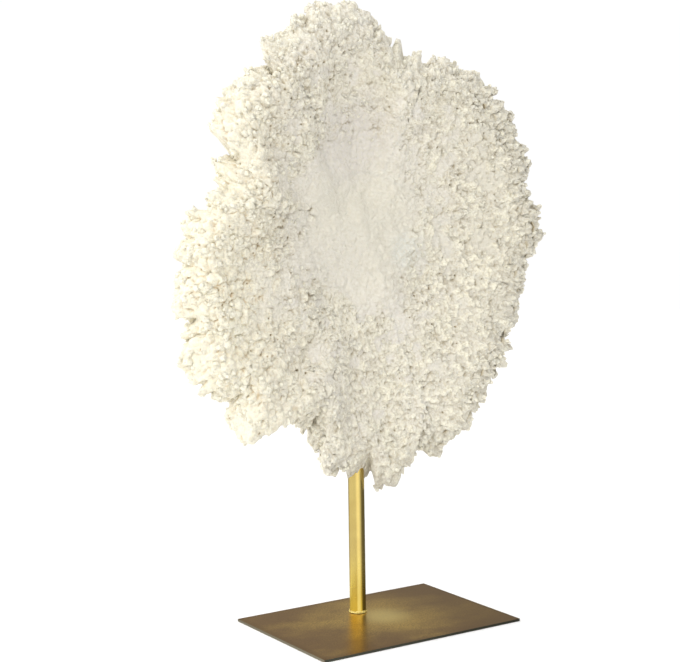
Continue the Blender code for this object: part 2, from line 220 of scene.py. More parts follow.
# Clusters on the front and on the rim, the rim's steps between clusters and lumps, and the cracks and pits
CLUSTER_HEIGHT = (0.0018, 0.0028)
CLUSTER_STEP = 0.0022
LUMP_STEP = 0.0034
CRACK_DEPTH = 0.0010
PIT_DEPTH = 0.0016

# Greyer patches of the coral's front, partly its own tone, partly painted shade in its valleys:
# (X, Z, radius, strength, colour)
TONES_AND_SHADE = (
    (0.000, 0.305, 0.085, 1.0, (0.765, 0.73, 0.628)),
    (-0.012, 0.370, 0.044, 1.0, (0.735, 0.695, 0.635)),
    (-0.022, 0.280, 0.034, 0.6, (0.735, 0.70, 0.625)),
    (0.038, 0.284, 0.022, 0.45, (0.725, 0.755, 0.715)),
)
# Level direction of the rod's side that has a dark reflection painted into its colour
DARK_REFLECTION_SIDE = (0.842, -0.539, 0.0)


def smooth_step(value):
    """Ease from 0 to 1 with level ends."""
    value = np.clip(value, 0.0, 1.0)
    return value * value * (3.0 - 2.0 * value)


def ramp(value, start, span):
    """Ease from 0 at a start to 1 a span further on."""
    return smooth_step((value - start) / span)


def mix(first, second, share):
    """Go from the first value to the second by a share."""
    return first + (second - first) * share


def turn_between(first, second):
    """Smallest angle between directions, in degrees."""
    return np.abs((first - second + 180.0) % 360.0 - 180.0)


def direction_of(x, z):
    """Direction of a place of the disc's plane, in degrees round the heart."""
    return np.degrees(np.arctan2(z - HEART_Z, x - HEART_X))


def on_rim(way):
    """Share of the rim in a way: 1 on the rim, easing to 0 on the front and on the back."""
    return ramp(way, 0.75, 0.35) * (1.0 - ramp(way, 1.8, 0.4))


def outline_radius(angle):
    """Radius to the branch tips: a cubic through the outline's points, which closes on itself."""
    stations = np.array(OUTLINE, float)
    count = len(stations)
    angle = np.asarray(angle, float) % 360.0
    index = np.searchsorted(stations[:, 0], angle, side="right") - 1
    before, start, end, after = (stations[(index + step) % count] for step in (-1, 0, 1, 2))
    span = (end[..., 0] - start[..., 0]) % 360.0
    share = (angle - start[..., 0]) / span
    slope_in = (end[..., 1] - before[..., 1]) / ((end[..., 0] - before[..., 0]) % 360.0) * span
    slope_out = (after[..., 1] - start[..., 1]) / ((after[..., 0] - start[..., 0]) % 360.0) * span
    square, cube = share ** 2, share ** 3
    radius = (2 * cube - 3 * square + 1) * start[..., 1] + (cube - 2 * square + share) * slope_in
    radius += (3 * square - 2 * cube) * end[..., 1] + (cube - square) * slope_out
    return radius * MM


def heart_radius(angle):
    """The heart's edge, a circle with slow waves in it: (waves in a turn, phase, share of the radius)."""
    turn = np.radians(angle)
    return HEART_RADIUS * (1.0 + sum(size * np.sin(n * turn + phase) for n, phase, size in HEART_WAVES))


def mid_y(angle, share):
    """Depth of the disc's middle surface: the rim stands forward and the foot sits back."""
    foot = 0.5 + 0.5 * np.cos(np.pi * np.minimum(turn_between(angle, FOOT_ANGLE) / FOOT_SPREAD, 1.0))
    rim = RIM_MID_Y + FOOT_SETBACK * foot
    return HEART_MID_Y + (rim - HEART_MID_Y) * smooth_step(share)


def half_thickness(angle, share):
    """Half the disc's thickness, which grows outwards and dips along the forks."""
    turn = np.radians(angle)
    nearest = np.min([turn_between(angle, lobe[1]) for lobe in LOBES], axis=0)
    groove = FORK_GROOVE * share ** 4 * (1.0 - smooth_step(nearest / FORK_GROOVE_ANGLE))
    variation = RIM_VARIATION * np.sin(2 * turn + RIM_VARIATION_PHASE) * np.cos(3 * turn)
    rim = RIM_HALF_THICKNESS * (1.0 + variation)
    return HEART_HALF_THICKNESS + (rim - HEART_HALF_THICKNESS) * share ** 2 - groove


def plumpness(angle):
    """How plump the knobs are in a direction."""
    degrees, values = np.array(PLUMPNESS).T
    return np.interp(np.asarray(angle) % 360.0, degrees, values, period=360.0)


def rim_start(angle):
    """Radius where the front ends and the rim begins to turn back."""
    return outline_radius(angle) - mix(*SKIN_INSET, plumpness(angle)) - half_thickness(angle, 1.0) * RIM_REACH


def share_of(way):
    """How far out a way lies: 0 over the heart, growing to 1 where the rim turns, on front and back alike."""
    return np.clip(np.where(way < WAY_BRIM, way, WAY_BACK_HEART - way), 0.0, 1.0)


def skin(angle, way):
    """The smooth skin as radius and depth.

    Front and back: radius runs evenly from the heart's edge to the rim, depth is the middle surface less or
    plus half the thickness. Rim: half an ellipse from front to back. Heart: level, the cut stalk behind it.
    """
    angle, way = np.broadcast_arrays(np.asarray(angle, float), np.asarray(way, float))
    share = share_of(way)
    inner = heart_radius(angle)
    to_middle = np.clip(np.maximum(-way, way - WAY_BACK_HEART), 0.0, 1.0)
    radius = mix(inner, rim_start(angle), share) * (1.0 - to_middle)
    side = np.where(way < WAY_BRIM, -1.0, 1.0)
    depth = mid_y(angle, share) + side * half_thickness(angle, share)
    stalk = smooth_step((STALK_ROOT_RADIUS - radius) / (STALK_ROOT_RADIUS - STALK_TOP_RADIUS))
    depth = depth + np.where(way > 2.5, STALK_LENGTH * stalk, 0.0)
    half_rim = half_thickness(angle, 1.0)
    turn = (np.clip(way, WAY_RIM, WAY_BACK) - WAY_BRIM) * np.pi
    turned_back = (way > WAY_RIM) & (way < WAY_BACK)
    radius = np.where(turned_back, rim_start(angle) + half_rim * RIM_REACH * np.cos(turn), radius)
    depth = np.where(turned_back, mid_y(angle, 1.0) + half_rim * np.sin(turn), depth)
    return radius, depth


def place(angle, radius, depth):
    """World positions of points given round the heart."""
    turn = np.radians(angle)
    return np.stack([HEART_X + radius * np.cos(turn), depth, HEART_Z + radius * np.sin(turn)], -1)


def normalised(vectors):
    """Vectors scaled to length 1."""
    return vectors / np.maximum(np.linalg.norm(vectors, axis=-1, keepdims=True), 1e-12)


def outward(angle):
    """Directions away from the heart in the disc's plane."""
    turn = np.radians(angle)
    return np.stack([np.cos(turn), np.zeros_like(turn), np.sin(turn)], -1)


def laid(angle):
    """The way the rim's knobs and clumps lie: outwards, and at the right turned towards X."""
    out = outward(angle)
    out[..., 2] *= 1.0 - LAID_LEVEL * ramp(out[..., 0], 0.1, 0.5)
    return normalised(out)


def skin_frame(angle, way):
    """Points of the smooth skin with their outward normals, from small steps both ways."""
    step_angle, step_way = 0.2, 0.004
    spot = place(angle, *skin(angle, way))
    along = place(angle + step_angle, *skin(angle + step_angle, way)) - spot
    across = place(angle, *skin(angle, way + step_way)) - place(angle, *skin(angle, way - step_way))
    level = np.zeros_like(spot)
    level[..., 1] = np.where(way < WAY_BRIM, -1.0, 1.0)
    in_heart = ((way < 0.02) | (way > 2.98))[..., None]
    return spot, np.where(in_heart, level, normalised(np.cross(across, along)))


# Random numbers for the cells of space: the same cell always gives the same four numbers
CELL_TABLE = np.random.default_rng(20).random((37, 41, 43, 4))


def cell_numbers(cell):
    """Four even random numbers from 0 to 1 for whole-number cells."""
    return CELL_TABLE[cell[..., 0] % 37, cell[..., 1] % 41, cell[..., 2] % 43]


def seeds_near(scaled):
    """Seeds strewn one to a cell, in the 27 cells round each point: one by one their places and numbers."""
    home = np.floor(scaled).astype(int)
    for offset in np.ndindex(3, 3, 3):
        cell = home + np.array(offset) - 1
        drawn = cell_numbers(cell)
        yield cell + 0.12 + 0.76 * drawn[..., :3], drawn


def nearest_seed(points, spacing, blocky=False):
    """Distances in spacings to the nearest and the next strewn seed, and the nearest one's place and numbers.

    A distance is the root of the sum of squares, and a blocky one the fourth root of that of fourth powers.
    """
    scaled = points / spacing
    best = np.full(points.shape[:-1], 9.0)
    second = best.copy()
    seed_spot = np.zeros_like(points)
    numbers = np.zeros(points.shape[:-1] + (4,))
    for centre, drawn in seeds_near(scaled):
        spans = (scaled - centre) ** 2
        distance = np.sqrt(np.sqrt(np.sum(spans * spans, -1)) if blocky else np.sum(spans, -1))
        closer = distance < best
        second = np.where(closer, best, np.minimum(second, distance))
        best = np.where(closer, distance, best)
        seed_spot = np.where(closer[..., None], centre * spacing, seed_spot)
        numbers = np.where(closer[..., None], drawn, numbers)
    return best, second, seed_spot, numbers


def slow_noise(points, width):
    """Smooth noise from -1 to 1: random numbers at cell corners, eased between them."""
    scaled = points / width
    home = np.floor(scaled).astype(int)
    blend = smooth_step(scaled - home)
    total = np.zeros(points.shape[:-1])
    for offset in np.ndindex(2, 2, 2):
        corner = np.array(offset)
        weight = np.prod(np.where(corner == 1, blend, 1.0 - blend), axis=-1)
        total += weight * (cell_numbers(home + corner)[..., 3] * 2.0 - 1.0)
    return total


def patch(points, x, z, width):
    """A round patch of the front that fades outwards, from 1 to 0."""
    return np.exp(-((points[..., 0] - x) ** 2 + (points[..., 2] - z) ** 2) / width ** 2)


def growth(points, way):
    """How far knobs have grown, from 0 on smooth skin to 1: outwards, in uneven drifts and in patches."""
    share = share_of(way)
    drift = slow_noise(points + 0.31, 0.024) + 0.5 * slow_noise(points + 0.77, 0.011)
    from_middle = np.hypot((points[..., 0] - SMOOTH_X) / SMOOTH_HALF_X,
                           (points[..., 2] - SMOOTH_Z) / SMOOTH_HALF_Z)
    front = smooth_step((from_middle - 0.70 + 0.25 * drift) / 0.85)
    for x, z, width, strength in KNOB_PATCHES:
        front = np.maximum(front, strength * patch(points, x, z, width))
    for x, z, width, strength in SMOOTH_PATCHES:
        front = front * (1.0 - strength * patch(points, x, z, width))
    back = 0.45 * ramp(share, 0.05, 0.9)
    return np.where(way < WAY_BRIM, front, mix(1.0, back, ramp(way, WAY_BRIM, 0.5)))


def fold(points, start, end, width):
    """A band along a line over the front that fades sideways, from 1 to 0."""
    line = np.subtract(end, start)
    flat = points[..., [0, 2]] - start
    along = np.clip(flat @ line / (line @ line), 0.0, 1.0)
    return np.exp(-np.sum((flat - along[..., None] * line) ** 2, -1) / width ** 2)


def slow_forms(points, way):
    """Rise of the skin's slow forms in metres: the folds and two sizes of swell."""
    rise = sum(height * fold(points, start, end, width) for start, end, width, height in FOLDS)
    calm = 1.0 - 0.7 * smooth_step((0.230 - points[..., 2]) / 0.05)
    rise = rise + calm * (0.0016 * slow_noise(points, 0.030) + 0.0015 * slow_noise(points + 0.5, 0.011))
    return rise * np.where(way < WAY_BRIM, 1.0, 0.5)


def dome(distance, reach, power=2):
    """A dome over a distance: 1 less the distance over the reach, to a power, and 0 past the reach."""
    return np.clip(1.0 - (distance / reach) ** power, 0.0, 1.0)


def blobs(points, spacing):
    """Domes and hollows of random heights round strewn seeds, added up so that they run together."""
    scaled = points / spacing
    total = np.zeros(points.shape[:-1])
    for centre, drawn in seeds_near(scaled):
        square = np.sum((scaled - centre) ** 2, -1)
        total += (drawn[..., 3] * 2.0 - 1.0) * np.clip(1.0 - square / 1.1, 0.0, 1.0) ** 2
    return total


def crumbs(points, stirred, plump, ridged, crumbly):
    """Crumbs from 0 to 1: separate blocks where plump, else blobs that run together, and ridges along X."""
    near, _, _, numbers = nearest_seed(stirred / (CRUMB_STRETCH, 1.0, 1.0), BLOCK_WIDTH, True)
    block = dome(near, 0.62, 5) * mix(0.1, 1.0, numbers[..., 3])
    lift = mix(0.42, 0.62, crumbly)
    blob = smooth_step(lift + 1.2 * blobs(points / (CRUMB_STRETCH, 1.0, 1.0), CRUMB_WIDTH))
    ridge = smooth_step(lift + 1.2 * blobs(points / (RIDGE_STRETCH, 1.0, 1.0), RIDGE_WIDTH))
    return mix(mix(blob, block, plump), ridge, ridged)


def rim_clumps(points, plump):
    """How far the rim's clumps and notches stand outwards, in metres: blocks where plump, else pointed teeth.

    A point is carried along its line from the eye to the rim's plane, which stands back at the foot:
    eye + (point - eye) (plane - eye) / (depth - eye). The angle there says which clump it belongs to.
    """
    angle = direction_of(points[..., 0], points[..., 2])
    plane = RIM_MID_Y + FOOT_SETBACK * smooth_step(1.0 - turn_between(angle, FOOT_ANGLE) / FOOT_SPREAD)
    share = (plane - EYE[1]) / (points[..., 1] - EYE[1])
    x, z = (EYE[axis] + (points[..., axis] - EYE[axis]) * share for axis in (0, 2))
    seen = direction_of(x, z) + 0.5 * slow_noise(points + 0.6, 0.012)
    reach = np.zeros_like(seen)
    for middle, half, millimetres in RIM_CLUMPS:
        share = 1.0 - turn_between(seen, middle) / half
        reach += millimetres * MM * mix(np.clip(1.4 * share, 0.0, 1.0), smooth_step(1.4 * share), plump)
    return reach


def height_of(heights, plump, crumbly):
    """A relief's height: from smooth to crumbly skin, and there from slender to plump."""
    smooth, slender, full = heights
    return mix(smooth, mix(slender, full, plump), crumbly)


def roughen(points, normals, way):
    """Raise the skin by slow forms, clusters, lumps, crumbs, chips and rim clumps, less cracks and pits.

    Lumps and blocks are domes round strewn seeds, whose space is stirred by slow noise so that no edge is
    straight. They rise with growth and fuse in soft patches. Returns the points and their looks: how openly
    each lies, from 0 in a pit to 1 on a crumb's top, and how crumbly it is.
    """
    angle = direction_of(points[..., 0], points[..., 2])
    right, up = np.cos(np.radians(angle)), np.sin(np.radians(angle))
    plump = plumpness(angle)
    rim = on_rim(way)
    ridged = 0.7 * ramp(right, 0.5, 0.4) * ramp(way, 0.5, 0.45)
    fused = ramp(slow_noise(points + 0.55, 0.0080) + 0.6 * slow_noise(points + 0.2, 0.019), 0.05, 0.45)
    grown = growth(points, way)
    crumbly = grown * (1.0 - 0.7 * fused * (1.0 - 0.7 * rim))
    stir = np.stack([slow_noise(points + shift, 0.0034) for shift in (0.0, 0.7, 1.9)], -1)
    stirred = points + 0.0012 * stir
    cluster, _, _, clump = nearest_seed(stirred, CLUSTER_WIDTH, True)
    near, next_near, _, lump = nearest_seed(stirred + 0.4, LUMP_WIDTH)
    step = rim * (CLUSTER_STEP * (clump[..., 3] - 0.5) + LUMP_STEP * (lump[..., 2] - 0.5))
    crack = 1.0 - ramp(next_near - near, 0.0, 0.16)
    crack = crack * ramp(slow_noise(points + 0.9, 0.0045), 0.10, 0.3) * ramp(crumbly, 0.1, 0.25)
    lump = dome(near, 0.74) * mix(0.2, 1.0, lump[..., 3])
    crumb = crumbs(points, stirred, plump, ridged, crumbly)
    chip = blobs(points + 0.3, CHIP_WIDTH)
    hole, _, _, pit = nearest_seed(points, PIT_WIDTH)
    pit = dome(hole, 0.18) * (pit[..., 0] < 0.45) * ramp(crumbly, 0.25, 0.15)
    calm = 1.0 - 0.75 * ramp(-up, 0.35, 0.4)
    rise = calm * (1.0 - 0.4 * plump * rim) * (grown * mix(*CLUSTER_HEIGHT, rim) * (0.60 - cluster) + step)
    rise = rise + height_of(LUMP_HEIGHT, plump, crumbly) * lump * (1.0 + 0.2 * rim)
    rise = rise + height_of(CRUMB_HEIGHT, plump, crumbly) * crumb * (1.0 - 0.35 * rim * plump)
    rise = rise + height_of(CHIP_HEIGHT, plump, crumbly) * chip - CRACK_DEPTH * crack - PIT_DEPTH * pit
    lean = normals + laid(angle) * (0.5 * grown * (1.0 - 0.5 * plump))[..., None]
    reach = rim_clumps(points, plump) * (0.95 + 0.2 * slow_noise(points, 0.010))
    edge = way + EDGE_SHIFT * right
    behind = np.where(reach > 0.0, ramp(edge, *CLUMP_END), ramp(edge, *NOTCH_END))
    reach = reach * ramp(edge, *CLUMP_START) * (1.0 - behind)
    rise = rise[..., None] * normalised(lean) + slow_forms(points, way)[..., None] * normals
    rise = rise + reach[..., None] * laid(angle)
    # How openly a point lies: the coral's finish paints shade where it is low, in pits and cracks, and light
    # where it is high
    openness = 0.45 - 0.22 * crumbly + crumbly * (0.25 * lump + 0.45 * crumb) + 0.10 * chip
    openness = openness - 0.25 * crack - 1.1 * pit
    return points + rise, np.stack([np.clip(openness, 0.0, 1.0), crumbly], -1)


def grid_faces(rows, columns, closed=False):
    """Quads of a grid of points that is stored row by row; closed joins the last column to the first."""
    row = np.arange(rows - 1)[:, None]
    column = np.arange(columns if closed else columns - 1)[None, :]
    beside = (column + 1) % columns
    corners = [row * columns + column, row * columns + beside,
               (row + 1) * columns + beside, (row + 1) * columns + column]
    return np.stack(np.broadcast_arrays(*corners), -1).reshape(-1, 4)


# Knobs and buds: sides, stations along them, and widths there, of pointed and of plump knobs
KNOB_SIDES = 5
KNOB_STATIONS = (0.0, 0.42, 0.80, 1.0)
POINTED_WIDTHS = np.array((1.35, 1.08, 0.58, 0.20))
PLUMP_WIDTHS = np.array((1.12, 1.10, 0.95, 0.66))
BUD_STATIONS = (0.0, 0.6, 1.0)
BUD_WIDTHS = np.array((1.0, 0.98, 0.5))


def lumps(base, direction, length, radii, stations, dice):
    """Closed lumps as points, faces and stations. A corner lies at

    base + direction * length * station + radius * (1 + stray) * (cos turn * first + sin turn * second),
    for each station with its radius, and a flat polygon closes either end.
    """
    count, rings = radii.shape
    sides = KNOB_SIDES
    stations = np.array(stations)
    first = normalised(np.cross(direction, dice.normal(size=(count, 3))))
    second = np.cross(direction, first)
    turns = np.arange(sides) * 2 * np.pi / sides
    reach = radii[..., None] * (1.0 + dice.uniform(-0.27, 0.27, (count, rings, sides)))
    lift = stations[None, :, None] * (1.0 + dice.uniform(-0.10, 0.10, (count, rings, sides)))
    spokes = np.cos(turns)[:, None] * first[:, None, None] + np.sin(turns)[:, None] * second[:, None, None]
    points = base[:, None, None] + direction[:, None, None] * (lift * length[:, None, None])[..., None]
    points = points + spokes * reach[..., None]
    offset = (np.arange(count) * rings * sides)[:, None, None]
    walls = (grid_faces(rings, sides, closed=True)[None] + offset).reshape(-1, 4)
    ring = np.arange(sides)
    ends = np.stack([ring[::-1], ring + (rings - 1) * sides])
    ends = (ends[None] + offset).reshape(-1, sides)
    return points.reshape(-1, 3), [walls, ends], np.tile(np.repeat(stations, sides), count)


def front_spots(spacing, dice):
    """Spots strewn over the front in staggered rows of the disc's plane: angles and ways."""
    row = np.arange(-STREWN_REACH, STREWN_REACH, spacing * 0.87)
    column = np.arange(-STREWN_REACH, STREWN_REACH, spacing)
    z, x = np.meshgrid(row, column, indexing="ij")
    x = x + spacing * 0.5 * (np.arange(len(row)) % 2)[:, None]
    x, z = (v + dice.uniform(-0.3, 0.3, v.shape) * spacing for v in (x, z))
    angle, radius = np.degrees(np.arctan2(z, x)).ravel(), np.hypot(x, z).ravel()
    inner, edge = heart_radius(angle), rim_start(angle)
    way = np.where(radius < inner, radius / inner - 1.0, (radius - inner) / (edge - inner))
    return angle[way < 1.0], way[way < 1.0]


def rim_spots(spacing, first, last, dice):
    """Spots strewn in staggered rows round the rim or the back, from one way to another."""
    ways = np.arange(first, last, spacing / RIM_PATH)
    angles, spots = [], []
    for index, way in enumerate(ways):
        radius, _ = skin(np.arange(0.0, 360.0, 6.0), np.full(60, way))
        count = int(2 * np.pi * radius.mean() / spacing)
        turn = (np.arange(count) + 0.5 * (index % 2) + dice.uniform(-0.3, 0.3, count)) * 360.0 / count
        angles.append(turn)
        spots.append(way + dice.uniform(-0.3, 0.3, count) * spacing / RIM_PATH)
    return np.concatenate(angles), np.concatenate(spots)


def grow_knobs(angle, way, dice):
    """Knobs at the given spots as points, faces and looks, with a bud on the shoulder of every other one.

    A knob stands along a mix of the skin's normal, the way out, and the way out of its cluster's middle.
    """
    smooth, normal = skin_frame(angle, way)
    grown = growth(smooth, way)
    plump = plumpness(angle)
    rim = on_rim(way)
    keep = dice.random(len(angle)) < grown * mix(mix(0.12, 0.22, plump), 0.32, rim)
    keep &= np.hypot(smooth[:, 0] - ROD_X, 0.4 * (smooth[:, 2] - ROD_HIGH.z)) > KNOB_FREE_ROUND_ROD
    smooth, normal, grown, plump, angle, way, rim = (
        v[keep] for v in (smooth, normal, grown, plump, angle, way, rim))
    spot, _ = roughen(smooth, normal, way)
    distance, _, centre, _ = nearest_seed(smooth, CLUSTER_WIDTH)
    count = len(angle)
    away = (smooth - centre) / CLUSTER_WIDTH
    lean = normal * mix(0.65, 1.0, plump)[:, None] + laid(angle) * (grown * mix(1.3, 0.7, plump))[:, None]
    lean = normalised(lean + away * (0.2 + 0.6 * grown)[:, None] + dice.normal(0.0, 0.15, (count, 3)))
    crest = np.clip(1.15 - 0.6 * distance ** 2, 0.5, 1.15) * dice.uniform(0.2, 1.0, count)
    crest = crest * np.where(dice.random(count) < 0.15, 1.5, 1.0)
    stand = mix(0.0006, mix(0.0013, 0.0012, plump), grown) + rim * mix(0.0034, 0.0013, plump)
    radius = mix(0.0014, 0.0015, plump) * (1.0 + mix(0.7, 0.2, plump) * rim) * dice.uniform(0.7, 1.4, count)
    sunk = radius * 0.9
    base = spot - lean * sunk[:, None]
    length = stand * crest + sunk
    radii = radius[:, None] * mix(POINTED_WIDTHS, PLUMP_WIDTHS, plump[:, None])
    points, faces, station = lumps(base, lean, length, radii, KNOB_STATIONS, dice)
    # Knobs lie less openly towards their roots, and the finish paints shade there
    depth = np.repeat(np.clip(length / 0.008, 0.2, 1.0), len(KNOB_STATIONS) * KNOB_SIDES)
    openness = np.clip(0.85 - (1.0 - station) * depth, 0.0, 1.0)
    knobs = points, faces, np.stack([openness, np.ones_like(station)], -1)
    budding = dice.random(count) < 0.55
    side = normalised(np.cross(lean, dice.normal(size=(count, 3))))
    height = length * dice.uniform(0.45, 0.85, count)
    base = base + lean * height[:, None] + side * (radius * 0.5)[:, None]
    lean = normalised(lean + side * 1.1)
    base, lean, radius = (v[budding] for v in (base, lean, radius))
    points, faces, station = lumps(base, lean, radius, 0.6 * radius[:, None] * BUD_WIDTHS, BUD_STATIONS, dice)
    # Buds lie open, a little less at the root, where the finish paints a little shade
    return [knobs, (points, faces, np.stack([0.75 + 0.25 * station, np.ones_like(station)], -1))]


def new_object(name, data):
    """A new object in the scene."""
    thing = bpy.data.objects.new(name, data)
    bpy.context.scene.collection.objects.link(thing)
    return thing


def make_piece(name, parts, material, crease):
    """Join sets of points, faces and looks into one smooth piece, sharp where it bends past the crease."""
    points = np.concatenate([part[0] for part in parts])
    looks = np.concatenate([part[2] for part in parts]).astype(np.float32)
    starts = np.cumsum([0] + [len(part[0]) for part in parts])
    faces = [block + start for part, start in zip(parts, starts) for block in part[1]]
    sizes = np.concatenate([np.full(len(block), block.shape[1]) for block in faces])
    corners = np.concatenate([block.ravel() for block in faces]).astype(np.int32)
    mesh = bpy.data.meshes.new(name)
    mesh.vertices.add(len(points))
    mesh.loops.add(len(corners))
    mesh.polygons.add(len(sizes))
    mesh.vertices.foreach_set("co", points.astype(np.float32).ravel())
    mesh.loops.foreach_set("vertex_index", corners)
    mesh.polygons.foreach_set("loop_start", (np.cumsum(sizes) - sizes).astype(np.int32))
    mesh.update(calc_edges=True)
    for name_of_look, values in zip(("openness", "crumbly"), looks.T):
        mesh.attributes.new(name_of_look, "FLOAT", "POINT").data.foreach_set("value", values.copy())
    mesh.shade_smooth()
    mesh.set_sharp_from_angle(angle=math.radians(crease))
    mesh.materials.append(material)
    return new_object(name, mesh)


def lobe_skin(first, last):
    """A lobe's skin from fork to fork, closed by two fork walls and the wall towards the heart."""
    columns = int(math.radians(last - first) * RIM_RADIUS / STEP_ROUND)
    ways = np.concatenate([np.linspace(0, WAY_RIM, int(SPOKE_LENGTH / STEP_FRONT), endpoint=False),
                           np.linspace(WAY_RIM, WAY_BACK, int(RIM_PATH / STEP_RIM), endpoint=False),
                           np.linspace(WAY_BACK, WAY_BACK_HEART, int(SPOKE_LENGTH / STEP_BACK))])
    rows = len(ways)
    way, angle = np.meshgrid(ways, np.linspace(first, last, columns), indexing="ij")
    points, looks = roughen(*skin_frame(angle, way), way)
    low = np.arange(rows // 2)[:, None] * columns
    high = (rows - 1 - np.arange(rows // 2))[:, None] * columns
    walls = []
    for edge, order in ((0, 1), (columns - 1, -1)):
        wall = np.concatenate([low[:-1] + edge, low[1:] + edge, high[1:] + edge, high[:-1] + edge], -1)
        walls.append(wall[:, ::order])
    bottom = np.arange(columns)
    top = (rows - 1) * columns + bottom
    inner = np.stack([top[:-1], top[1:], bottom[1:], bottom[:-1]], -1)
    return points.reshape(-1, 3), [grid_faces(rows, columns), *walls, inner], looks.reshape(-1, 2)


def disc_grid(steps):
    """A square grid of points drawn into a unit disc: directions in degrees and shares of the radius."""
    line = np.linspace(-1.0, 1.0, steps)
    b, a = np.meshgrid(line, line, indexing="ij")
    share = np.maximum(np.abs(a), np.abs(b))
    wide = np.abs(a) >= np.abs(b)
    slope = np.where(wide, b, a) / np.where(wide, np.where(a == 0, 1.0, a), np.where(b == 0, 1.0, b))
    turn = np.where(wide, slope * 45.0, 90.0 - slope * 45.0)
    turn = turn + np.where(np.where(wide, a, b) < 0, 180.0, 0.0)
    return turn, share


def heart_skin():
    """The heart: a disc grid in front and one behind, joined along their borders.

    The last two rings go on past the heart's edge, a step lower, so that they lie under the lobes.
    """
    rings = int(HEART_RADIUS / STEP_FRONT)
    turn, share = disc_grid(2 * rings + 1)
    share = share * rings / (rings - 2)
    sheets = []
    for side in (-1.0, 1.0):
        reach = np.minimum(share, 1.0)
        way = reach - 1.0 if side < 0 else WAY_BACK_MIDDLE - reach
        points, looks = roughen(*skin_frame(turn, way), way)
        spread = np.maximum(share, 1.0) - 1.0
        points = points + outward(turn) * (heart_radius(turn) * spread)[..., None]
        points[..., 1] -= side * np.where(spread > 1e-6, 0.0016, 0.0)
        sheets.append((points.reshape(-1, 3), looks.reshape(-1, 2)))
    steps = 2 * rings + 1
    faces = grid_faces(steps, steps)
    count = steps * steps
    index = np.arange(count).reshape(steps, steps)
    border = np.concatenate([index[0, :-1], index[:-1, -1], index[-1, :0:-1], index[:0:-1, 0]])
    ahead = np.roll(border, -1)
    wall = np.stack([ahead, border, border + count, ahead + count], -1)
    points, looks = (np.concatenate(values) for values in zip(*sheets))
    return points, [faces, faces[:, ::-1] + count, wall], looks


def turned(profile, closed):
    """A profile of (radius, height) carried round the rod's axis, as a closed ring or between flat ends."""
    turn = np.arange(ROUND_SIDES) * 2 * np.pi / ROUND_SIDES
    radius, height = (np.array([value + 0 * turn for value in values]) for values in zip(*profile))
    points = np.stack([ROD_X + radius * np.cos(turn), ROD_Y + radius * np.sin(turn), height], -1)
    faces = grid_faces(len(profile), ROUND_SIDES, closed=True)
    ring = np.arange(ROUND_SIDES)
    last = (len(profile) - 1) * ROUND_SIDES
    if closed:
        ends = np.stack([ring + last, np.roll(ring, -1) + last, np.roll(ring, -1), ring], -1)
    else:
        ends = np.stack([ring[::-1], ring + last])
    return points.reshape(-1, 3), [faces, ends], np.ones((points.size // 3, 2))


def make_rod(material):
    """The round rod with both ends broken."""
    low, high = ROD_LOW.z, ROD_HIGH.z
    profile = [(ROD_RADIUS - ROD_CHAMFER, low), (ROD_RADIUS, low + ROD_CHAMFER),
               (ROD_RADIUS, high - ROD_CHAMFER), (ROD_RADIUS - ROD_CHAMFER, high)]
    add_piece("brass_rod", [turned(profile, False)], material, "stem_rod")


def make_bead(material):
    """The solder ring: a quarter round whose width and height swell and shrink along it in a few waves."""
    inner, low = ROD_RADIUS + 0.0002, BEAD_LOW.z
    width, height = (BEAD_HIGH.x - BEAD_LOW.x) / 2 - inner, BEAD_HIGH.z - low
    turn = np.arange(ROUND_SIDES) * 2 * np.pi / ROUND_SIDES
    swell = 0.72 + 0.11 * np.sin(3 * turn + 1.0) + 0.10 * np.sin(8 * turn) + 0.07 * np.sin(17 * turn + 2.0)
    profile = [(inner, low)]
    for step in np.linspace(0.0, np.pi / 2, 9):
        profile.append((inner + 0.55 * width * swell * np.cos(step), low + height * swell * np.sin(step)))
    add_piece("solder_ring", [turned(profile, True)], material, "weld_bead")


def make_plate(material):
    """The plate: a rectangle with small round corners, carried up a profile that rounds its edges."""
    half = np.array([(PLATE_HIGH.x - PLATE_LOW.x) / 2, (PLATE_HIGH.y - PLATE_LOW.y) / 2])
    steps = np.linspace(0.0, np.pi / 2, 7)
    turn = np.concatenate([steps + quarter * np.pi / 2 for quarter in range(4)])
    sign = np.repeat([(1, 1), (-1, 1), (-1, -1), (1, -1)], len(steps), axis=0)
    bend = [math.radians(degrees) for degrees in (0, 30, 60, 90)]
    profile = [(PLATE_EDGE * (1 - math.sin(b)), PLATE_LOW.z + PLATE_EDGE * (1 - math.cos(b))) for b in bend]
    profile += [(PLATE_EDGE * (1 - math.cos(b)), PLATE_HIGH.z - PLATE_EDGE * (1 - math.sin(b))) for b in bend]
    flat = 2 * PLATE_EDGE
    profile = [(flat, PLATE_LOW.z), *profile, (flat, PLATE_HIGH.z)]
    corner = np.stack([np.cos(turn), np.sin(turn)], -1)
    rings = []
    for inset, height in profile:
        spot = sign * (half - PLATE_CORNER) + (PLATE_CORNER - inset) * corner
        rings.append(np.column_stack([spot, np.full(len(turn), height)]))
    count = len(turn)
    ring = np.arange(count)
    ends = np.stack([ring[::-1], ring + (len(profile) - 1) * count])
    faces = [grid_faces(len(profile), count, closed=True), ends]
    add_piece("bronze_plate", [(np.concatenate(rings), faces, np.ones((count * len(profile), 2)))], material,
              "base_plate")


